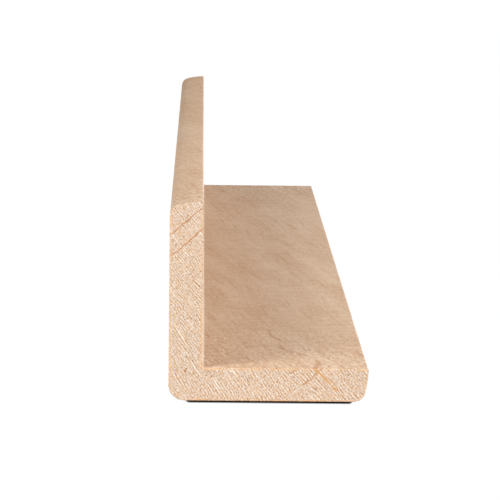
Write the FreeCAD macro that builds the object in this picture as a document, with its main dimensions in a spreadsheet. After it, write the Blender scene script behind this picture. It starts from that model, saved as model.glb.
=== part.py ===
import FreeCAD, Part
import math
import os

import Sketcher

# Corner guard moulding: one length of solid hardwood, moulded to an L and cut square at both ends.
# It lies on the back of one leg with the other leg upright at the left.
# X runs across the lower leg, Y along the grain and Z up the standing leg.
# The origin is under the middle of the piece, on the surface that it lies on. Millimetres.

NODE = "corner_guard"

SIZES = [
    ("stock_length", 304.8, "length along the grain, between the saw cuts"),
    ("leg_width", 38.1, "width of each leg, from the heel face to the tip of its toe"),
    ("leg_thickness", 6.35, "thickness of both legs"),
    ("heel_radius", 3.0, "round on the outside corner, which shows and takes the knocks"),
    ("root_radius", 0.6, "fillet in the inside corner, left by the tip of the cutter"),
    ("crown_radius", 18.0, "curve of each toe face, which turns square into the inner face"),
    ("toe_round", 2.2, "round between a toe face and the outer face"),
    ("arris_radius", 0.3, "sanded edge between a toe face and the inner face"),
    ("end_break", 0.15, "sharp edge taken off round each sawn end"),
]


def size_sheet(doc):
    """Write the driving sizes to a sheet, one row each: name, value, meaning."""
    sheet = doc.addObject("Spreadsheet::Sheet", "sizes")
    for row, (name, value, meaning) in enumerate(SIZES, start=1):
        sheet.set(f"A{row}", name)
        sheet.set(f"B{row}", str(value))
        sheet.setAlias(f"B{row}", name)
        sheet.set(f"C{row}", meaning)
    doc.recompute()
    return sheet


def origin_plane(body, role):
    """One of the body's own three origin planes."""
    return next(plane for plane in body.Origin.OriginFeatures if plane.Role == role)


def line(start, end):
    """Straight run of the outline between two points."""
    return Part.LineSegment(FreeCAD.Vector(*start, 0), FreeCAD.Vector(*end, 0))


def arc(centre, radius, start, end):
    """Round stretch of the outline, anticlockwise between two angles."""
    circle = Part.Circle(FreeCAD.Vector(*centre, 0), FreeCAD.Vector(0, 0, 1), radius)
    return Part.ArcOfCircle(circle, start, end)


def add_outline(sketch, sheet):
    """Draw the L close to its true shape; return each stretch's number under its name."""
    width, thick = sheet.leg_width, sheet.leg_thickness
    heel, root, crown = sheet.heel_radius, sheet.root_radius, sheet.crown_radius
    toe, arris = sheet.toe_round, sheet.arris_radius
    left = -width / 2

    # Distances along a leg from the outer corner, and heights through its thickness
    crown_centre = width - crown
    toe_centre = crown_centre + math.sqrt((crown - toe) ** 2 - (thick - toe) ** 2)
    arris_centre = crown_centre + math.sqrt((crown - arris) ** 2 - arris ** 2)
    inside = thick + root

    # Directions in which the crown meets the toe round and the arris
    toe_turn = math.atan2(toe - thick, toe_centre - crown_centre)
    arris_turn = math.atan2(-arris, arris_centre - crown_centre)
    quarter, half, three_quarters = math.pi / 2, math.pi, 1.5 * math.pi

    def lower(along, through):
        return (left + along, through)

    def upright(along, through):
        return (left + through, along)

    stretches = {
        "lower_back": line(lower(heel, 0), lower(toe_centre, 0)),
        "lower_toe": arc(lower(toe_centre, toe), toe, -quarter, toe_turn),
        "lower_crown": arc(lower(crown_centre, thick), crown, toe_turn, arris_turn),
        "lower_arris": arc(lower(arris_centre, thick - arris), arris, arris_turn, quarter),
        "lower_inside": line(lower(arris_centre, thick), lower(inside, thick)),
        "root": arc(lower(inside, inside), root, half, three_quarters),
        "upright_inside": line(upright(inside, thick), upright(arris_centre, thick)),
        "upright_arris": arc(upright(arris_centre, thick - arris), arris, 0, quarter - arris_turn),
        "upright_crown": arc(upright(crown_centre, thick), crown, quarter - arris_turn, quarter - toe_turn),
        "upright_toe": arc(upright(toe_centre, toe), toe, quarter - toe_turn, half),
        "upright_back": line(upright(toe_centre, 0), upright(heel, 0)),
        "heel": arc(lower(heel, heel), heel, half, three_quarters),
    }
    return {name: sketch.addGeometry(shape, False) for name, shape in stretches.items()}


def tie_outline(sketch, number):
    """Fix the outline by its sizes, so that nothing is left free when one of them changes."""
    start, end, centre = 1, 2, 3
    floor_axis, origin_point = -1, -1

    def tie(kind, *where):
        return sketch.addConstraint(Sketcher.Constraint(kind, *where))

    def drive(kind, name, expression, *where):
        index = tie(kind, *where, float(sketch.evalExpression(expression)))
        sketch.renameConstraint(index, name)
        sketch.setExpression(f"Constraints.{name}", expression)

    # The outline runs anticlockwise, and only the root is followed from its end to its start
    names = list(number)
    for here, there in zip(names, names[1:] + names[:1]):
        leaves = start if here == "root" else end
        enters = end if there == "root" else start
        tie("Tangent", number[here], leaves, number[there], enters)

    for name in ("lower_back", "lower_inside"):
        tie("Horizontal", number[name])
    for name in ("upright_back", "upright_inside"):
        tie("Vertical", number[name])

    tie("PointOnObject", number["lower_back"], start, floor_axis)
    drive("DistanceX", "back_offset", "sizes.leg_width / 2",
          number["upright_back"], end, origin_point, start)
    drive("DistanceY", "lower_thickness", "sizes.leg_thickness",
          number["lower_back"], start, number["lower_inside"], start)
    drive("DistanceX", "upright_thickness", "sizes.leg_thickness",
          number["upright_back"], start, number["upright_inside"], start)

    # Each crown turns square into its inner face, with the leg's full width there
    reach_expression = "sizes.leg_width - sizes.crown_radius"
    tie("PointOnObject", number["lower_crown"], centre, number["lower_inside"])
    tie("PointOnObject", number["upright_crown"], centre, number["upright_inside"])
    drive("DistanceX", "lower_reach", reach_expression,
          number["upright_back"], end, number["lower_crown"], centre)
    drive("DistanceY", "upright_reach", reach_expression,
          number["lower_back"], start, number["upright_crown"], centre)

    drive("Radius", "heel_radius", "sizes.heel_radius", number["heel"])
    drive("Radius", "root_radius", "sizes.root_radius", number["root"])
    drive("Radius", "crown_radius", "sizes.crown_radius", number["lower_crown"])
    drive("Radius", "toe_round", "sizes.toe_round", number["lower_toe"])
    drive("Radius", "arris_radius", "sizes.arris_radius", number["lower_arris"])
    for name in ("crown", "toe", "arris"):
        tie("Equal", number["lower_" + name], number["upright_" + name])


def sawn_ends(shape, length):
    """Names of the two flat faces across the grain."""
    names = []
    for index, face in enumerate(shape.Faces, start=1):
        if math.isclose(abs(face.CenterOfMass.y), length / 2, abs_tol=1e-6):
            names.append(f"Face{index}")
    if len(names) != 2:
        raise RuntimeError(f"expected two sawn ends, found {len(names)}")
    return names


def corner_guard(doc, sheet):
    """The moulding: its section, run along the grain, with the sharp edge off both ends."""
    body = doc.addObject("PartDesign::Body", NODE)
    body.Label = NODE
    body.Placement = FreeCAD.Placement()

    section = body.newObject("Sketcher::SketchObject", "section")
    section.AttachmentSupport = [(origin_plane(body, "XZ_Plane"), "")]
    section.MapMode = "FlatFace"
    tie_outline(section, add_outline(section, sheet))
    doc.recompute()
    if section.solve() != 0 or not section.FullyConstrained:
        raise RuntimeError("the section isn't fully fixed by its sizes")

    stock = body.newObject("PartDesign::Pad", "stock")
    stock.Profile = section
    stock.SideType = "Symmetric"
    stock.setExpression("Length", "sizes.stock_length")
    doc.recompute()

    ends = body.newObject("PartDesign::Chamfer", "ends")
    ends.Base = (stock, sawn_ends(stock.Shape, sheet.stock_length))
    ends.setExpression("Size", "sizes.end_break")
    doc.recompute()
    return body


def check(doc, bodies):
    """Stop before anything is written if an object failed or a shape isn't sound."""
    for item in doc.Objects:
        if {"Invalid", "Error"} & set(item.State):
            raise RuntimeError(f"{item.Label} failed: {item.State}")
    for body in bodies:
        if body.Shape.isNull() or not body.Shape.isValid() or len(body.Shape.Solids) != 1:
            raise RuntimeError(f"{body.Label} isn't one sound solid")


def main():
    doc = FreeCAD.newDocument("corner_guard_moulding")
    sheet = size_sheet(doc)
    bodies = [corner_guard(doc, sheet)]
    check(doc, bodies)

    os.makedirs("parts", exist_ok=True)
    for body in bodies:
        body.Shape.exportStep(f"parts/{body.Label}.step")
        box = body.Shape.BoundBox
        print(f"{body.Label}: {box.XLength:.2f} x {box.YLength:.2f} x {box.ZLength:.2f} mm,"
              f" {body.Shape.Volume:.0f} cubic mm")


main()
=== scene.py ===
import math

import bpy
import numpy as np
from mathutils import Matrix, Vector, noise


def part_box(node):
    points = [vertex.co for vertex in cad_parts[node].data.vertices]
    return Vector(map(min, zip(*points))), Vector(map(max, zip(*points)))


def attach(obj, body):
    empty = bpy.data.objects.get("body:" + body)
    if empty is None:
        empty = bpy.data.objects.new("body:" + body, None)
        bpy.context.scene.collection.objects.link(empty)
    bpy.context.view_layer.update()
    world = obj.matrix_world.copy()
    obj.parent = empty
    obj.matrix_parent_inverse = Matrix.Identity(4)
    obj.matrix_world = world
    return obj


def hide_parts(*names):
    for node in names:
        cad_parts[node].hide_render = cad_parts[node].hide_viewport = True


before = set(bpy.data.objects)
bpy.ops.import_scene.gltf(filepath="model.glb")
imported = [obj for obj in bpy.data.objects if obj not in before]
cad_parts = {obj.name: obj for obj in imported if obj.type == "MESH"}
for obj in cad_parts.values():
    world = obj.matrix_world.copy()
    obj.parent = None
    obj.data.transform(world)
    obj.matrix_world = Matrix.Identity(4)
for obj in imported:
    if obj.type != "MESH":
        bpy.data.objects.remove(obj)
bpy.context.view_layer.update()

bl_info = {
    "name": "Corner guard moulding",
    "version": (1, 0, 0),
    "blender": (4, 5, 0),
    "location": "View3D > Sidebar > Corner guard",
    "description": "Builds a length of raw maple corner guard moulding and a plain stage to see it on",
    "category": "Add Mesh",
}

# One millimetre in metres, the unit of the scene. Wood patterns are written in millimetres.
MM = 0.001

CAD_NODE = "corner_guard"
CAD_BODY = "root"

# The moulding lies along Y with its upright leg at the low end of X
BOX_LOW, BOX_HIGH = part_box(CAD_NODE)
LEG_WIDTH = BOX_HIGH.x - BOX_LOW.x
HALF_LENGTH = (BOX_HIGH.y - BOX_LOW.y) / 2


def linear(code):
    """Linear red, green and blue of an sRGB hex code."""
    shares = [int(code[at:at + 2], 16) / 255 for at in (1, 3, 5)]
    return [c / 12.92 if c <= 0.04045 else ((c + 0.055) / 1.055) ** 2.4 for c in shares]


def add(tree, kind, inputs=None, **settings):
    """Add a node, set it up, and fill its inputs with values or with links from other sockets."""
    made = tree.nodes.new(kind)
    for name, value in settings.items():
        setattr(made, name, value)
    for key, value in (inputs or {}).items():
        if isinstance(value, bpy.types.NodeSocket):
            tree.links.new(value, made.inputs[key])
        else:
            made.inputs[key].default_value = value
    return made


def length_property(name, millimetres, description):
    """A length that a user can change, given in millimetres."""
    return bpy.props.FloatProperty(
        name=name, description=description, default=millimetres * MM,
        unit="LENGTH", subtype="DISTANCE", precision=5)


def angle_property(name, degrees, description):
    """An angle that a user can change, given in degrees."""
    return bpy.props.FloatProperty(
        name=name, description=description, default=math.radians(degrees),
        unit="ROTATION", subtype="ANGLE")


def level_property(name, level, description):
    """A light level that a user can change, where 1 shows a colour as it is written."""
    return bpy.props.FloatProperty(
        name=name, description=description, default=level, min=0, subtype="FACTOR", soft_max=2)


def colour_property(name, code, description):
    """A colour that a user can change, given as an sRGB hex code."""
    return bpy.props.FloatVectorProperty(
        name=name, description=description, default=linear(code),
        size=3, subtype="COLOR", min=0, max=1)


class GuardSizes(bpy.types.PropertyGroup):
    """Sizes of the section, as the moulder's knives leave it."""

    leg_thickness: length_property("Leg thickness", 6.35, "Thickness of both legs")
    heel_radius: length_property("Heel radius", 3.0, "Round on the outside corner")
    root_radius: length_property("Root radius", 0.6, "Fillet in the inside corner")
    crown_radius: length_property("Crown radius", 18.0, "Curve of each toe face")
    toe_round: length_property("Toe round", 2.2, "Round between a toe face and the outer face")
    arris_radius: length_property("Arris radius", 0.3, "Edge between a toe face and the inner face")
    end_break: length_property("End break", 0.15, "Sharp edge taken off round each sawn end")
    saw_relief: length_property("Saw relief", 0.03, "Depth of the unevenness that the saw leaves")


class LogGrowth(bpy.types.PropertyGroup):
    """Where the stock lay in the log, and how the tree grew there."""

    pith_x: length_property("Pith X", -92.0, "Centre of the rings at the near end, across the guard")
    pith_z: length_property("Pith Z", 122.0, "Centre of the rings at the near end, above the floor")
    fibre_lean: angle_property("Fibre lean", 9.0, "Angle at which the fibres drift to the left")
    ring_width: length_property("Ring width", 3.18, "Wood grown in one year")
    ring_start: length_property("Ring start", 116.1, "Distance from the pith to one clear ring line")
    ray_spacing: length_property("Ray spacing", 0.47, "From ray to ray, drawn coarse enough to show")
    ray_length: length_property("Ray length", 2.4, "Length of one dash of a ray on the end grain")
    streak_x: length_property("Streak X", 8.65, "Start of the streak on the near end, across the guard")
    streak_z: length_property("Streak Z", 6.35, "Start of the streak on the near end, above the floor")


class GuardColours(bpy.types.PropertyGroup):
    """Colours of raw hard maple."""

    planed_dark: colour_property("Planed, dark", "#c9a17d", "Darker fibres on the long faces")
    planed_light: colour_property("Planed, light", "#e4caae", "Lighter fibres on the long faces")
    sawn_dark: colour_property("Sawn, dark", "#b6906d", "Wood between the rays on the ends")
    sawn_light: colour_property("Sawn, light", "#ebe1d7", "Rays on the ends")
    ring: colour_property("Ring line", "#bb8458", "Last, dense wood of each year, and stained fibres")
    pore: colour_property("Pore", "#8f5c3a", "Open vessels")
    streak: colour_property("Mineral streak", "#d29b5b", "Stain that follows a ray and the fibres")
    # The arris line is partly a burnished edge and partly a painted highlight
    arris: colour_property("Arris", "#ebb67c", "Warm line where the saw left the edge")
    # The warm tint over the upright's toe is in part painted light
    tint: colour_property("Warm tint", "#fff0dc", "Over warm spots and the wood at the upright's toe")


class StageLook(bpy.types.PropertyGroup):
    """Camera and light of the stage."""

    camera_x: length_property("Camera X", -13.22, "Across the guard")
    camera_y: length_property("Camera Y", -707.9, "Along the guard")
    camera_z: length_property("Camera Z", 105.2, "Above the floor")
    pitch: angle_property("Pitch", 7.805, "Angle that the camera looks down")
    yaw: angle_property("Yaw", 0.968, "Angle that the camera looks to the right")
    roll: angle_property("Roll", 0.7, "Anticlockwise lean of the camera")
    lens: bpy.props.FloatProperty(
        name="Lens", description="Focal length", default=213.47, min=1, unit="CAMERA")
    room: level_property("Room", 0.25, "Even light from all round")
    key: level_property("Key", 0.51, "Soft lamp high at the left of the camera")
    side: level_property("Side", 0.54, "Wide lamp at the right, into the inside corner")
    front: level_property("Front", 0.545, "Wide, low lamp behind the camera")
    back: level_property("Back", 0.25, "Weak, low lamp from behind, for the far end")


def arc_points(centre, radius, start, end, steps):
    """Points round part of a circle, both ends included."""
    angles = np.linspace(start, end, steps + 1)
    return np.stack([centre[0] + radius * np.cos(angles), centre[1] + radius * np.sin(angles)], 1)


def run_points(start, end, steps):
    """Points along a straight run, both ends included."""
    return np.linspace(np.array(start), np.array(end), steps + 1)


# Steps round each small bend, along each leg, through its thickness and along the whole length
BENDS, RUNS, RUNGS, LENGTHS = 6, 104, 24, 72


def leg_sides(sizes):
    """Outer side, inner side and toe face of one leg, as points along the leg and through it.

    Both sides start on the diagonal of the corner and have the same number of points.
    """
    thick, heel, root = sizes.leg_thickness, sizes.heel_radius, sizes.root_radius
    crown, toe, arris = sizes.crown_radius, sizes.toe_round, sizes.arris_radius
    crown_centre = LEG_WIDTH - crown
    toe_centre = crown_centre + math.sqrt((crown - toe) ** 2 - (thick - toe) ** 2)
    arris_centre = crown_centre + math.sqrt((crown - arris) ** 2 - arris ** 2)
    inside = thick + root

    # Directions in which the crown meets the toe round and the arris
    toe_turn = math.atan2(toe - thick, toe_centre - crown_centre)
    arris_turn = math.atan2(-arris, arris_centre - crown_centre)
    diagonal, down, up = math.radians(225), math.radians(270), math.radians(90)

    outer = np.concatenate([
        arc_points((heel, heel), heel, diagonal, down, BENDS),
        run_points((heel, 0), (toe_centre, 0), RUNS)[1:],
        arc_points((toe_centre, toe), toe, down - math.tau, toe_turn, BENDS)[1:],
    ])
    inner = np.concatenate([
        arc_points((inside, inside), root, diagonal, down, BENDS),
        run_points((inside, thick), (arris_centre, thick), RUNS)[1:],
        arc_points((arris_centre, thick - arris), arris, up, arris_turn, BENDS)[1:],
    ])
    return outer, inner, arc_points((crown_centre, thick), crown, toe_turn, arris_turn, RUNGS)


def section_outline(sizes):
    """Outline of the L in X and Z, anticlockwise from the upright's toe.

    The outer side comes first, and the second answer is its number of points.
    """
    outer, inner, toe = leg_sides(sizes)
    upright_outer, upright_inner, upright_toe = (side[:, ::-1] for side in (outer, inner, toe))
    outer_side = np.concatenate([upright_outer[:0:-1], outer])
    inner_side = np.concatenate([inner[::-1], upright_inner[1:]])
    outline = np.concatenate([outer_side, toe[1:-1], inner_side, upright_toe[-2:0:-1]])
    return outline + np.array([BOX_LOW.x, BOX_LOW.z]), len(outer_side)


def inward_normals(outline):
    """Directions into the wood, square to an anticlockwise outline."""
    along = np.roll(outline, -1, 0) - np.roll(outline, 1, 0)
    along /= np.linalg.norm(along, axis=1, keepdims=True)
    return np.stack([-along[:, 1], along[:, 0]], 1)


def rough(points, size):
    """Smooth random values of about -1 to 1 at some points, with bumps of the given size."""
    return np.array([noise.noise(Vector(point) / size) for point in points])


def slow_wave(height, along, along_size, beside, beside_size):
    """Wave of the fibres along the trunk, which grows and fades to the side, in millimetres."""
    return height * np.sin(along / along_size) * np.cos(beside / beside_size)


def growth(points, log):
    """Where points of the moulding lay in the log: round a ring, along the trunk and out from the pith.

    The answer is in millimetres. The fibres drift to the left away from the near end, and wander.
    """
    x, y, z = points.T / MM
    away = y + HALF_LENGTH / MM
    drift = math.tan(log.fibre_lean) * away
    wander = slow_wave(0.8, away, 23, z, 30) + slow_wave(0.3, away, 9.1, x, 17)
    rise = slow_wave(0.7, away, 31, x, 25)
    right = x - log.pith_x / MM + drift + wander
    below = log.pith_z / MM - z + rise
    middle_radius = 135
    return np.stack([middle_radius * np.arctan2(right, below), y, np.hypot(right, below)], 1)


class BuildGuard(bpy.types.Operator):
    """Build the moulding from its section, with its sawn ends and its wood"""

    bl_idname = "guard.build_moulding"
    bl_label = "Build moulding"

    def execute(self, context):
        scene = context.scene
        mesh = bpy.data.meshes.new("corner_guard_moulding")
        fill_mesh(mesh, scene.guard_sizes, scene.guard_log)
        mesh.materials.append(planed_maple(scene.guard_log, scene.guard_colours))
        mesh.materials.append(sawn_maple(scene.guard_log, scene.guard_colours))
        piece = bpy.data.objects.new("corner_guard_moulding", mesh)
        scene.collection.objects.link(piece)
        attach(piece, CAD_BODY)
        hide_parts(CAD_NODE)
        return {"FINISHED"}


PLANED, SAWN = 0, 1


def fill_mesh(mesh, sizes, log):
    """Walls along the grain, and at each end a broken edge and a grid over the sawn face."""
    outline, across = section_outline(sizes)
    inward = inward_normals(outline)
    count = len(outline)
    ring = np.arange(count)
    following = np.roll(ring, -1)

    # Walls
    reach = HALF_LENGTH - sizes.end_break
    stations = np.linspace(-reach, reach, LENGTHS + 1)
    parts = [np.stack([outline[:, 0], np.full(count, y), outline[:, 1]], 1) for y in stations]
    band = np.stack([ring, following, following + count, ring + count], 1)
    faces = [band + count * station for station in range(LENGTHS)]
    burnish_and_highlight_values = [np.zeros(count * (LENGTHS + 1))]
    slots = [np.full(count * LENGTHS, PLANED)]

    # Sawn ends
    grid = np.arange(across * (RUNGS + 1)).reshape(across, RUNGS + 1)
    rim = np.concatenate([grid[:, 0], grid[-1, 1:-1], grid[::-1, -1], grid[0, -2:0:-1]])
    inner = np.setdiff1d(grid, rim)
    cells = np.stack([grid[:-1, :-1], grid[1:, :-1], grid[1:, 1:], grid[:-1, 1:]], -1).reshape(-1, 4)
    for side, station in ((-1, 0), (1, LENGTHS)):
        # The broken edge varies in width, and inside it the saw has left a fine relief
        wall = parts[station]
        drop = sizes.end_break * (1.1 + 0.6 * rough(wall, 4 * MM))
        flat = end_points(outline + inward * drop[:, None], grid, rim)
        points = np.stack([flat[:, 0], np.full(len(flat), side * HALF_LENGTH), flat[:, 1]], 1)
        points[inner, 1] -= side * sizes.saw_relief * (0.5 + 0.5 * rough(points[inner], 0.5 * MM))
        first = sum(len(part) for part in parts)
        wall_edge = ring + count * station
        strip = np.stack([rim + first, np.roll(rim, -1) + first, np.roll(wall_edge, -1), wall_edge], 1)
        for quads in (cells + first, strip):
            faces.append(quads if side < 0 else quads[:, ::-1])
            slots.append(np.full(len(quads), SAWN))
        # The warm line along the rim, partly a burnished edge and partly a painted highlight, comes and
        # goes, and the upright's toe has none
        rim_burnish_and_highlight = np.zeros(len(points))
        rim_burnish_and_highlight[rim] = np.clip(0.65 + 0.8 * rough(wall, 3 * MM), 0, 1)
        rim_burnish_and_highlight[grid[0]] = 0
        parts.append(points)
        burnish_and_highlight_values.append(rim_burnish_and_highlight)

    vertices = np.concatenate(parts)
    faces = np.concatenate(faces)
    mesh.from_pydata(vertices.tolist(), [], faces.tolist())
    mesh.polygons.foreach_set("material_index", np.concatenate(slots))
    mesh.polygons.foreach_set("use_smooth", np.full(len(faces), True))
    mesh.set_sharp_from_angle(angle=math.radians(30))
    sheet = mesh.uv_layers.new(name="OFBake")
    sheet.uv.foreach_set("vector", unrolled(outline, vertices, faces).ravel())
    place = mesh.attributes.new("growth", "FLOAT_VECTOR", "POINT")
    place.data.foreach_set("vector", growth(vertices, log).ravel())
    burnish_and_highlight = mesh.attributes.new("arris", "FLOAT", "POINT")
    burnish_and_highlight.data.foreach_set("value", np.concatenate(burnish_and_highlight_values))
    mesh.update()


def end_points(rim_points, grid, rim):
    """Grid of X and Z over a sawn face, whose sides are the given rim."""
    points = np.zeros((grid.size, 2))
    points[rim] = rim_points
    margin = 0.03
    shares = np.concatenate([[0], np.linspace(margin, 1 - margin, RUNGS - 1), [1]])
    outer, inner = points[grid[1:-1, 0]], points[grid[1:-1, -1]]
    points[grid[1:-1]] = outer[:, None] * (1 - shares[:, None]) + inner[:, None] * shares[:, None]
    return points


def unrolled(outline, vertices, faces):
    """Places of the face corners on a flat sheet: the walls below, and both ends side by side above."""
    margin, wall_height, end_height = 0.01, 0.62, 0.35
    steps = np.linalg.norm(np.roll(outline, -1, 0) - outline, axis=1)
    shares = np.concatenate([[0], np.cumsum(steps)]) / steps.sum()
    across = np.tile(np.stack([shares[:-1], shares[1:], shares[1:], shares[:-1]], 1), (LENGTHS, 1))
    station = np.repeat(np.arange(LENGTHS), len(outline))
    along = (station[:, None] + np.array([0, 0, 1, 1])) / LENGTHS
    walls = np.stack([margin + across * (1 - 2 * margin), margin + along * (wall_height - margin)], -1)

    corners = vertices[faces[len(walls):]]
    far_end = corners[:, :1, 1] > 0
    beside = (corners[..., 0] - BOX_LOW.x) / LEG_WIDTH * end_height
    above = (corners[..., 2] - BOX_LOW.z) / LEG_WIDTH * end_height
    ends = np.stack([
        margin + beside + far_end * (end_height + margin),
        wall_height + margin + above,
    ], -1)
    return np.concatenate([walls, ends])


def patches(tree, place, sizes, detail=0, distortion=0):
    """Soft noise with patches of the given millimetres: round a ring, along the trunk and outwards."""
    shrunk = add(tree, "ShaderNodeVectorMath", {
        0: place, 1: [1 / size for size in sizes]}, operation="MULTIPLY")
    made = add(tree, "ShaderNodeTexNoise", {
        "Vector": shrunk.outputs[0], "Scale": 1, "Detail": detail, "Distortion": distortion})
    return made.outputs["Fac"]


def grain(tree, log, streak_half_width):
    """Sockets that both surfaces share: place in the log, ring lines, mineral streak and a warmer tint
    over the upright's top, which is in part painted light.
    """
    place = add(tree, "ShaderNodeAttribute", attribute_name="growth").outputs["Vector"]
    wavy = waved(tree, place)
    streak, stain = mineral_streak(tree, log, place, wavy, streak_half_width)
    rings = ring_lines(tree, log, place, wavy, stain)
    return wavy, rings, streak, warm_top_tint(tree)


def waved(tree, place):
    """Place in the log, shifted to and fro so that no line runs quite straight."""
    waves_per_mm, swing = 0.45, 0.9
    stir = add(tree, "ShaderNodeTexNoise", {"Vector": place, "Scale": waves_per_mm, "Detail": 2})
    centred = add(tree, "ShaderNodeVectorMath", {
        0: stir.outputs["Color"], 1: (0.5, 0.5, 0.5)}, operation="SUBTRACT")
    shifted = add(tree, "ShaderNodeVectorMath", {
        0: centred.outputs[0], 1: (swing, 0, swing), 2: place}, operation="MULTIPLY_ADD")
    return shifted.outputs[0]


def mineral_streak(tree, log, place, wavy, half_width):
    """The streak, a thin sheet along one ray and the fibres, and the stain beside its start."""
    start = np.array([[log.streak_x, -HALF_LENGTH, log.streak_z]])
    round_start, _, out_start = growth(start, log)[0]
    parts = add(tree, "ShaderNodeSeparateXYZ", {0: place})
    round_ring, along, out = parts.outputs

    # Distance from the sheet, which leans off the ray and strays to both sides along the grain
    lean, stray = -0.07, 5
    turned = add(tree, "ShaderNodeMath", {0: out, 1: lean, 2: round_ring}, operation="MULTIPLY_ADD")
    strays = patches(tree, place, (40, 14, 40))
    strayed = add(tree, "ShaderNodeMath", {
        0: strays, 1: stray, 2: turned.outputs[0]}, operation="MULTIPLY_ADD")
    beside = add(tree, "ShaderNodeMath", {
        0: strayed.outputs[0], 1: round_start + lean * out_start + stray / 2}, operation="SUBTRACT")
    offset = add(tree, "ShaderNodeMath", {0: beside.outputs[0]}, operation="ABSOLUTE").outputs[0]
    sheet = add(tree, "ShaderNodeMapRange", {
        "Value": offset, "From Min": half_width, "From Max": half_width / 3},
        interpolation_type="SMOOTHSTEP")

    # It is whole near its start, broken outwards and along the grain, and faint towards the pith
    outward = add(tree, "ShaderNodeMapRange", {
        "Value": out, "From Min": out_start + 10, "From Max": out_start + 2})
    inward = add(tree, "ShaderNodeMapRange", {"Value": along, "From Min": -75, "From Max": -150})
    left = add(tree, "ShaderNodeMath", {
        0: outward.outputs[0], 1: inward.outputs[0]}, operation="MULTIPLY")
    wear = patches(tree, wavy, (0.7, 9, 0.9))
    worn = add(tree, "ShaderNodeMath", {
        0: wear, 1: 1.6, 2: left.outputs[0]}, operation="MULTIPLY_ADD")
    whole = add(tree, "ShaderNodeMapRange", {
        "Value": worn.outputs[0], "From Min": 1.25, "From Max": 1.5})
    fainter = add(tree, "ShaderNodeMapRange", {
        "Value": out, "From Min": out_start - 9, "From Max": out_start - 2, "To Min": 0.3})
    streak = sheet.outputs[0]
    for share in (whole, fainter):
        streak = add(tree, "ShaderNodeMath", {
            0: streak, 1: share.outputs[0]}, operation="MULTIPLY").outputs[0]

    # The stain has spread along the ring where the streak starts
    spread = add(tree, "ShaderNodeMapRange", {
        "Value": offset, "From Min": 4.2, "From Max": 3.2, "To Max": 0.4})
    within = add(tree, "ShaderNodeMapRange", {
        "Value": out, "From Min": out_start + 2.6, "From Max": out_start + 1.6,
        "To Max": fainter.outputs[0]})
    stain = add(tree, "ShaderNodeMath", {
        0: spread.outputs[0], 1: within.outputs[0]}, operation="MULTIPLY")
    return streak, stain.outputs[0]


def ring_lines(tree, log, place, wavy, stain):
    """Thin lines where each year's growth ends."""
    width = log.ring_width / MM
    parts = add(tree, "ShaderNodeSeparateXYZ", {0: wavy})

    # Years since the clear ring line, then the distance from the nearest line as a share of a year
    years = add(tree, "ShaderNodeMath", {
        0: parts.outputs["Z"], 1: 1 / width, 2: -log.ring_start / MM / width},
        operation="MULTIPLY_ADD")
    raggedness = 0.16
    ragged = patches(tree, place, (0.5, 12, 0.5), detail=1)
    moved = add(tree, "ShaderNodeMath", {
        0: ragged, 1: raggedness, 2: years.outputs[0]}, operation="MULTIPLY_ADD")
    centred = add(tree, "ShaderNodeMath", {
        0: moved.outputs[0], 1: raggedness / 2}, operation="SUBTRACT")
    gap = add(tree, "ShaderNodeMath", {0: centred.outputs[0], 1: 0.5}, operation="PINGPONG")
    line = add(tree, "ShaderNodeMapRange", {
        "Value": gap.outputs[0], "From Min": 0.045, "From Max": 0.015},
        interpolation_type="SMOOTHSTEP")

    # The clear ring and the next one show nearly whole, and the others only where they are stained
    between = add(tree, "ShaderNodeMath", {0: years.outputs[0], 1: 0.5}, operation="SUBTRACT")
    apart = add(tree, "ShaderNodeMath", {0: between.outputs[0]}, operation="ABSOLUTE")
    limit = add(tree, "ShaderNodeMapRange", {
        "Value": apart.outputs[0], "From Min": 0.7, "From Max": 1.2, "To Min": 0.28, "To Max": 0.72})
    breaks = patches(tree, wavy, (2.5, 30, 2.5), detail=3)
    stained = add(tree, "ShaderNodeMath", {0: breaks, 1: stain})
    above = add(tree, "ShaderNodeMath", {
        0: stained.outputs[0], 1: limit.outputs[0]}, operation="SUBTRACT")
    strength = add(tree, "ShaderNodeMapRange", {"Value": above.outputs[0], "From Max": 0.1})
    rings = add(tree, "ShaderNodeMath", {
        0: line.outputs[0], 1: strength.outputs[0]}, operation="MULTIPLY")
    return rings.outputs[0]


def warm_top_tint(tree):
    """Share of warmer colour over the upright's toe, rising towards the far end: partly warmer wood,
    partly painted light that tints the top for how sheen and bounced light fall there.
    """
    rise_to_far_end, starts, whole = 0.03, 33 * MM, 42 * MM
    spot = add(tree, "ShaderNodeTexCoord")
    height = add(tree, "ShaderNodeVectorMath", {
        0: spot.outputs["Object"], 1: (0, rise_to_far_end, 1)}, operation="DOT_PRODUCT")
    warm_top = add(tree, "ShaderNodeMapRange", {
        "Value": height.outputs["Value"], "From Min": starts, "From Max": whole})
    return warm_top.outputs[0]


def raw_wood(name):
    """A new material with the weak gloss of unfinished wood, and its node tree."""
    material = bpy.data.materials.new(name)
    material.use_nodes = True
    shader = material.node_tree.nodes["Principled BSDF"]
    shader.inputs["IOR"].default_value = 1.5
    shader.inputs["Specular IOR Level"].default_value = 0.25
    return material, material.node_tree


# Places of a Mix node's colour sockets, whose names its number and vector sockets share
SHARE, UNDER, OVER, MIXED = 0, 6, 7, 2


def lay_over(tree, wood, layers):
    """Colour of the wood with other colours laid over it in turn, each by its own share."""
    for share, colour in layers:
        mixed = add(tree, "ShaderNodeMix", {
            SHARE: share, UNDER: wood, OVER: (*colour, 1)}, data_type="RGBA")
        wood = mixed.outputs[MIXED]
    return wood


def show(tree, colour, roughness, relief):
    """Link a surface's colour, roughness and relief to the shader."""
    shader = tree.nodes["Principled BSDF"]
    tree.links.new(colour, shader.inputs["Base Color"])
    tree.links.new(roughness, shader.inputs["Roughness"])
    tree.links.new(relief, shader.inputs["Normal"])


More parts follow.
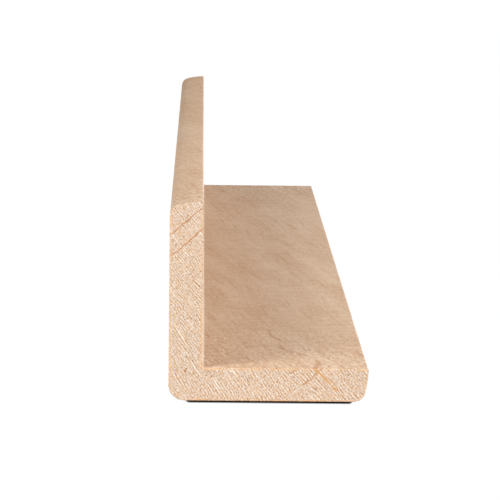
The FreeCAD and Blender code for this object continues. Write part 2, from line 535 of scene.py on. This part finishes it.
# Hard maple run through a moulder: smooth, pale long grain with fine fibres and a dull sheen.
# Fibres, pores and the streak are drawn coarser than they are, so that they show.
def planed_maple(log, colours):
    """Material of the long faces."""
    material, tree = raw_wood("hard maple, planed")
    wavy, rings, streak, warm_top = grain(tree, log, streak_half_width=0.45)
    fibres = patches(tree, wavy, (0.5, 8, 0.5), detail=3)
    pores = patches(tree, wavy, (0.35, 2.6, 0.35), detail=1)
    curl = patches(tree, wavy, (5, 2.2, 5), detail=3, distortion=0.8)
    clouds = patches(tree, wavy, (6, 30, 6), detail=2)
    bands = patches(tree, wavy, (1.1, 90, 1.1), detail=2)
    stains = patches(tree, wavy, (0.9, 16, 0.9), detail=1)

    # Pores and stains stand out towards the ends, where the wood has dried most
    parts = add(tree, "ShaderNodeSeparateXYZ", {0: wavy})
    from_middle = add(tree, "ShaderNodeMath", {0: parts.outputs["Y"]}, operation="ABSOLUTE")
    raised = add(tree, "ShaderNodeMapRange", {
        "Value": from_middle.outputs[0], "From Min": 105, "From Max": 152,
        "To Min": 1.3, "To Max": 4.3})
    level = add(tree, "ShaderNodeMath", {0: pores, 1: 0.5}, operation="SUBTRACT")
    flecks = add(tree, "ShaderNodeMath", {
        0: level.outputs[0], 1: raised.outputs[0]}, operation="MULTIPLY")
    dried = add(tree, "ShaderNodeMapRange", {
        "Value": from_middle.outputs[0], "From Min": 80, "From Max": 152, "To Max": 0.05})
    stained = add(tree, "ShaderNodeMath", {0: stains, 1: dried.outputs[0]})
    stain = add(tree, "ShaderNodeMapRange", {
        "Value": stained.outputs[0], "From Min": 0.6, "From Max": 0.78, "To Max": 0.4})

    # Fine and broad figure together choose between the dark and the light fibres
    fine = add(tree, "ShaderNodeMath", {
        0: fibres, 1: 0.4, 2: flecks.outputs[0]}, operation="MULTIPLY_ADD")
    figure = fine.outputs[0]
    for pattern, weight in ((curl, 1), (clouds, 1.2), (bands, 0.6)):
        figure = add(tree, "ShaderNodeMath", {
            0: pattern, 1: weight, 2: figure}, operation="MULTIPLY_ADD").outputs[0]
    tone = add(tree, "ShaderNodeMapRange", {"Value": figure, "From Min": 0.9, "From Max": 2.3})
    wood = add(tree, "ShaderNodeMix", {
        SHARE: tone.outputs[0], UNDER: (*colours.planed_dark, 1), OVER: (*colours.planed_light, 1)},
        data_type="RGBA")
    # The top of the upright is warmer, in part painted light
    warmth = add(tree, "ShaderNodeMath", {0: warm_top, 1: 0.5}, operation="MULTIPLY")
    tinted = add(tree, "ShaderNodeMix", {
        SHARE: warmth.outputs[0], UNDER: wood.outputs[MIXED], OVER: (*colours.tint, 1)},
        data_type="RGBA", blend_type="MULTIPLY")
    faint_rings = add(tree, "ShaderNodeMath", {0: rings, 1: 0.25}, operation="MULTIPLY")
    faint_streak = add(tree, "ShaderNodeMath", {0: streak, 1: 0.62}, operation="MULTIPLY")
    colour = lay_over(tree, tinted.outputs[MIXED], [
        (faint_rings.outputs[0], colours.ring),
        (stain.outputs[0], colours.ring),
        (faint_streak.outputs[0], colours.ring),
    ])

    sheen = add(tree, "ShaderNodeMapRange", {"Value": tone.outputs[0], "To Min": 0.75, "To Max": 0.62})
    relief = add(tree, "ShaderNodeBump", {"Height": fine.outputs[0], "Distance": 0.01 * MM})
    show(tree, colour, sheen.outputs[0], relief.outputs[0])
    return material


# Hard maple sawn across the grain: dull, finely mottled end grain with rays, ring lines and open pores.
# Rays and pores are drawn about three times too coarse, so that some show.
def sawn_maple(log, colours):
    """Material of the two ends."""
    material, tree = raw_wood("hard maple, sawn")
    wavy, rings, streak, warm_top = grain(tree, log, streak_half_width=0.2)
    spacing, length = log.ray_spacing / MM, log.ray_length / MM

    # Rays: wavy lines outwards from the pith, broken into dashes, with a few wide ones among them
    parts = add(tree, "ShaderNodeSeparateXYZ", {0: wavy})
    bend = patches(tree, wavy, (1.5, 60, 4))
    most_lead = 6
    lead = add(tree, "ShaderNodeMath", {0: bend, 1: most_lead}, operation="MULTIPLY")
    phase = add(tree, "ShaderNodeMath", {
        0: parts.outputs["X"], 1: math.tau / spacing, 2: lead.outputs[0]}, operation="MULTIPLY_ADD")
    lines = add(tree, "ShaderNodeMath", {0: phase.outputs[0]}, operation="SINE")
    dashes = patches(tree, wavy, (0.6, 60, length / 2))
    dash = add(tree, "ShaderNodeMapRange", {"Value": dashes, "From Min": 0.35, "From Max": 0.6})
    rays = add(tree, "ShaderNodeMath", {0: lines.outputs[0], 1: dash.outputs[0]}, operation="MULTIPLY")
    wide_rays = patches(tree, wavy, (spacing, 60, 2 * length))
    wide = add(tree, "ShaderNodeMapRange", {
        "Value": wide_rays, "From Min": 0.7, "From Max": 0.8, "To Max": 0.2})
    speckle = patches(tree, wavy, (0.22, 0.5, 0.22))
    speckled = add(tree, "ShaderNodeMath", {
        0: rays.outputs[0], 1: 0.25, 2: speckle}, operation="MULTIPLY_ADD")
    mottle = add(tree, "ShaderNodeMath", {0: speckled.outputs[0], 1: wide.outputs[0]})
    tone = add(tree, "ShaderNodeMapRange", {
        "Value": mottle.outputs[0], "From Min": 0.12, "From Max": 0.88})
    wood = add(tree, "ShaderNodeMix", {
        SHARE: tone.outputs[0], UNDER: (*colours.sawn_dark, 1), OVER: (*colours.sawn_light, 1)},
        data_type="RGBA")
    warm_spots = patches(tree, wavy, (0.45, 2, 0.6), detail=1)
    warm = add(tree, "ShaderNodeMapRange", {"Value": warm_spots, "From Min": 0.33, "From Max": 0.67})
    # The top of the upright is warmer, in part painted light
    warmth = add(tree, "ShaderNodeMath", {
        0: warm_top, 1: 0.3, 2: warm.outputs[0]}, operation="MULTIPLY_ADD")
    tinted = add(tree, "ShaderNodeMix", {
        SHARE: warmth.outputs[0], UNDER: wood.outputs[MIXED], OVER: (*colours.tint, 1)},
        data_type="RGBA", blend_type="MULTIPLY")

    # Pores: a round dot in some of the cells, in loose groups
    cells_per_mm = 1.8
    cells = add(tree, "ShaderNodeTexVoronoi", {"Vector": wavy, "Scale": cells_per_mm})
    dot = add(tree, "ShaderNodeMapRange", {
        "Value": cells.outputs["Distance"], "From Min": 0.3, "From Max": 0.15})
    pick = add(tree, "ShaderNodeSeparateXYZ", {0: cells.outputs["Color"]})
    few = add(tree, "ShaderNodeMapRange", {
        "Value": pick.outputs["X"], "From Min": 0.4, "From Max": 0.65})
    groups = patches(tree, wavy, (3, 30, 3), detail=1)
    grouped = add(tree, "ShaderNodeMapRange", {"Value": groups, "From Min": 0.45, "From Max": 0.6})
    open_pore = dot.outputs[0]
    for share in (few, grouped):
        open_pore = add(tree, "ShaderNodeMath", {
            0: open_pore, 1: share.outputs[0]}, operation="MULTIPLY").outputs[0]

    # Warm rim line: partly a burnished edge, partly a painted highlight
    burnish_and_highlight = add(tree, "ShaderNodeAttribute", attribute_name="arris")
    colour = lay_over(tree, tinted.outputs[MIXED], [
        (open_pore, colours.pore),
        (rings, colours.ring),
        (streak, colours.streak),
        (burnish_and_highlight.outputs["Fac"], colours.arris),
    ])
    dull = add(tree, "ShaderNodeMapRange", {"Value": tone.outputs[0], "To Min": 0.9, "To Max": 0.75})
    relief = add(tree, "ShaderNodeBump", {"Height": mottle.outputs[0], "Distance": 0.02 * MM})
    show(tree, colour, dull.outputs[0], relief.outputs[0])
    return material


class SetStage(bpy.types.Operator):
    """Set the floor, the soft lights and the camera"""

    bl_idname = "guard.set_stage"
    bl_label = "Set stage"

    def execute(self, context):
        scene = context.scene
        look = scene.guard_stage
        scene.view_settings.view_transform = "Standard"
        lay_floor(scene)
        light_room(scene, look)
        place_camera(scene, look)
        return {"FINISHED"}


def seen_directly(tree):
    """Socket that is 1 for the camera, reflections and glass, and 0 for light that falls on things."""
    path = add(tree, "ShaderNodeLightPath")
    shown = path.outputs["Is Camera Ray"]
    for kind in ("Is Glossy Ray", "Is Transmission Ray"):
        shown = add(tree, "ShaderNodeMath", {
            0: shown, 1: path.outputs[kind]}, operation="MAXIMUM").outputs[0]
    return shown


def lay_floor(scene):
    """A wide sheet under the guard, with its material."""
    reach = 4.0
    mesh = bpy.data.meshes.new("floor")
    corners = [(-reach, -reach, 0), (reach, -reach, 0), (reach, reach, 0), (-reach, reach, 0)]
    mesh.from_pydata(corners, [], [(0, 1, 2, 3)])
    mesh.materials.append(white_paper(scene.guard_sizes))
    floor = bpy.data.objects.new("floor", mesh)
    scene.collection.objects.link(floor)


# White paper, rolled smooth: an even white, with a painted contact shadow, a thin dark line where the
# guard touches it.
# The light that falls on it comes back as from any matt white sheet.
def white_paper(sizes):
    """Material of the floor."""
    material = bpy.data.materials.new("white paper")
    material.use_nodes = True
    tree = material.node_tree
    tree.nodes.remove(tree.nodes["Principled BSDF"])
    glow = add(tree, "ShaderNodeEmission", {"Color": (*linear("#ffffff"), 1), "Strength": 0.98})
    shade = add(tree, "ShaderNodeBsdfDiffuse", {"Color": (*linear("#454545"), 1)})
    bright = add(tree, "ShaderNodeAddShader", {0: glow.outputs[0], 1: shade.outputs[0]})
    # Painted contact shadow: a near-black sheet where the guard sits on the floor
    painted_contact_shadow = add(tree, "ShaderNodeBsdfDiffuse", {"Color": (*linear("#191919"), 1)})
    seen = add(tree, "ShaderNodeMixShader", {
        0: clear_of_painted_shadow(tree, sizes), 1: painted_contact_shadow.outputs[0], 2: bright.outputs[0]})
    paper = add(tree, "ShaderNodeBsdfDiffuse", {"Color": (*linear("#e7e7e7"), 1)})
    both = add(tree, "ShaderNodeMixShader", {
        0: seen_directly(tree), 1: paper.outputs[0], 2: seen.outputs[0]})
    tree.links.new(both.outputs[0], tree.nodes["Material Output"].inputs["Surface"])
    return material


def clear_of_painted_shadow(tree, sizes):
    """Socket for the painted contact shadow: 0 under the guard's flat underside and close to its near
    end, and 1 further off.

    At the sides the light comes in under the rounds, so the painted shadow ends short of the flat's
    edges.
    """
    outline, _ = section_outline(sizes)
    flat = outline[outline[:, 1] < BOX_LOW.z + MM / 1000, 0]
    side_fade, near_fade, nearer = 1.2 * MM, 2.9 * MM, 2 * MM
    middle = ((flat.min() + flat.max()) / 2, -nearer, 0)
    half = ((flat.max() - flat.min()) / 2 - side_fade, HALF_LENGTH - nearer, 0)

    spot = add(tree, "ShaderNodeNewGeometry")
    shifted = add(tree, "ShaderNodeVectorMath", {
        0: spot.outputs["Position"], 1: middle}, operation="SUBTRACT")
    mirrored = add(tree, "ShaderNodeVectorMath", {0: shifted.outputs[0]}, operation="ABSOLUTE")
    beyond = add(tree, "ShaderNodeVectorMath", {
        0: mirrored.outputs[0], 1: half}, operation="SUBTRACT")
    outside = add(tree, "ShaderNodeVectorMath", {0: beyond.outputs[0]}, operation="MAXIMUM")
    scaled = add(tree, "ShaderNodeVectorMath", {
        0: outside.outputs[0], 1: (1 / side_fade, 1 / near_fade, 0)}, operation="MULTIPLY")
    distance = add(tree, "ShaderNodeVectorMath", {0: scaled.outputs[0]}, operation="LENGTH")
    clear = add(tree, "ShaderNodeMapRange", {
        "Value": distance.outputs["Value"], "From Min": 0.4, "From Max": 1},
        interpolation_type="SMOOTHSTEP")
    return clear.outputs[0]


def light_room(scene, look):
    """Even light from all round, and four soft lamps."""
    world = bpy.data.worlds.new("white room")
    world.use_nodes = True
    tree = world.node_tree
    level = add(tree, "ShaderNodeMapRange", {
        "Value": seen_directly(tree), "To Min": look.room, "To Max": 1})
    background = tree.nodes["Background"]
    background.inputs["Color"].default_value = (*linear("#ffffff"), 1)
    tree.links.new(level.outputs[0], background.inputs["Strength"])
    scene.world = world

    hang_lamp(scene, "key", look.key, turn=-55, rise=45, distance=0.6, size=0.25)
    hang_lamp(scene, "side", look.side, turn=85, rise=35, distance=0.75, size=0.5)
    hang_lamp(scene, "front", look.front, turn=0, rise=10, distance=0.8, size=0.5)
    hang_lamp(scene, "back", look.back, turn=165, rise=5, distance=1.6, size=0.25)


def hang_lamp(scene, name, level, turn, rise, distance, size):
    """A round soft lamp that gives a light level at the near end.

    It is turned to the right of the camera's side and raised, both in degrees.
    """
    lamp = bpy.data.lights.new(name, "AREA")
    lamp.shape = "DISK"
    lamp.size = size
    # Watts at which a small lamp gives the level to a surface that faces it
    lamp.energy = level * (math.pi * distance) ** 2
    made = bpy.data.objects.new(name, lamp)
    turn, rise = math.radians(turn), math.radians(rise)
    outward = math.cos(rise)
    towards = Vector((math.sin(turn) * outward, -math.cos(turn) * outward, math.sin(rise)))
    near_end = Vector((0, -HALF_LENGTH, 0))
    aim = towards.to_track_quat("Z", "Y").to_matrix().to_4x4()
    made.matrix_world = Matrix.Translation(near_end + towards * distance) @ aim
    scene.collection.objects.link(made)


def place_camera(scene, look):
    """The camera at the near end, a little above the guard and left of its middle."""
    data = bpy.data.cameras.new("camera")
    data.sensor_width = 36
    data.lens = look.lens
    camera = bpy.data.objects.new("camera", data)
    place = Matrix.Translation((look.camera_x, look.camera_y, look.camera_z))
    turn = Matrix.Rotation(-look.yaw, 4, "Z")
    tip = Matrix.Rotation(math.radians(90) - look.pitch, 4, "X")
    camera.matrix_world = place @ turn @ tip @ Matrix.Rotation(look.roll, 4, "Z")
    scene.collection.objects.link(camera)
    scene.camera = camera


class GuardPanel(bpy.types.Panel):
    """Sizes, colours and build buttons in the sidebar"""

    bl_idname = "VIEW3D_PT_corner_guard"
    bl_label = "Corner guard"
    bl_space_type = "VIEW_3D"
    bl_region_type = "UI"
    bl_category = "Corner guard"

    def draw(self, context):
        column = self.layout.column()
        for name, kind in GROUPS.items():
            group = getattr(context.scene, name)
            for setting in kind.__annotations__:
                column.prop(group, setting)
        column.operator(BuildGuard.bl_idname)
        column.operator(SetStage.bl_idname)


GROUPS = {
    "guard_sizes": GuardSizes,
    "guard_log": LogGrowth,
    "guard_colours": GuardColours,
    "guard_stage": StageLook,
}
CLASSES = (*GROUPS.values(), BuildGuard, SetStage, GuardPanel)


def register():
    for made in CLASSES:
        bpy.utils.register_class(made)
    for name, kind in GROUPS.items():
        setattr(bpy.types.Scene, name, bpy.props.PointerProperty(type=kind))


def unregister():
    for name in GROUPS:
        delattr(bpy.types.Scene, name)
    for made in reversed(CLASSES):
        bpy.utils.unregister_class(made)


def main():
    register()
    bpy.ops.guard.set_stage()
    bpy.ops.guard.build_moulding()


if __name__ == "__main__":
    main()
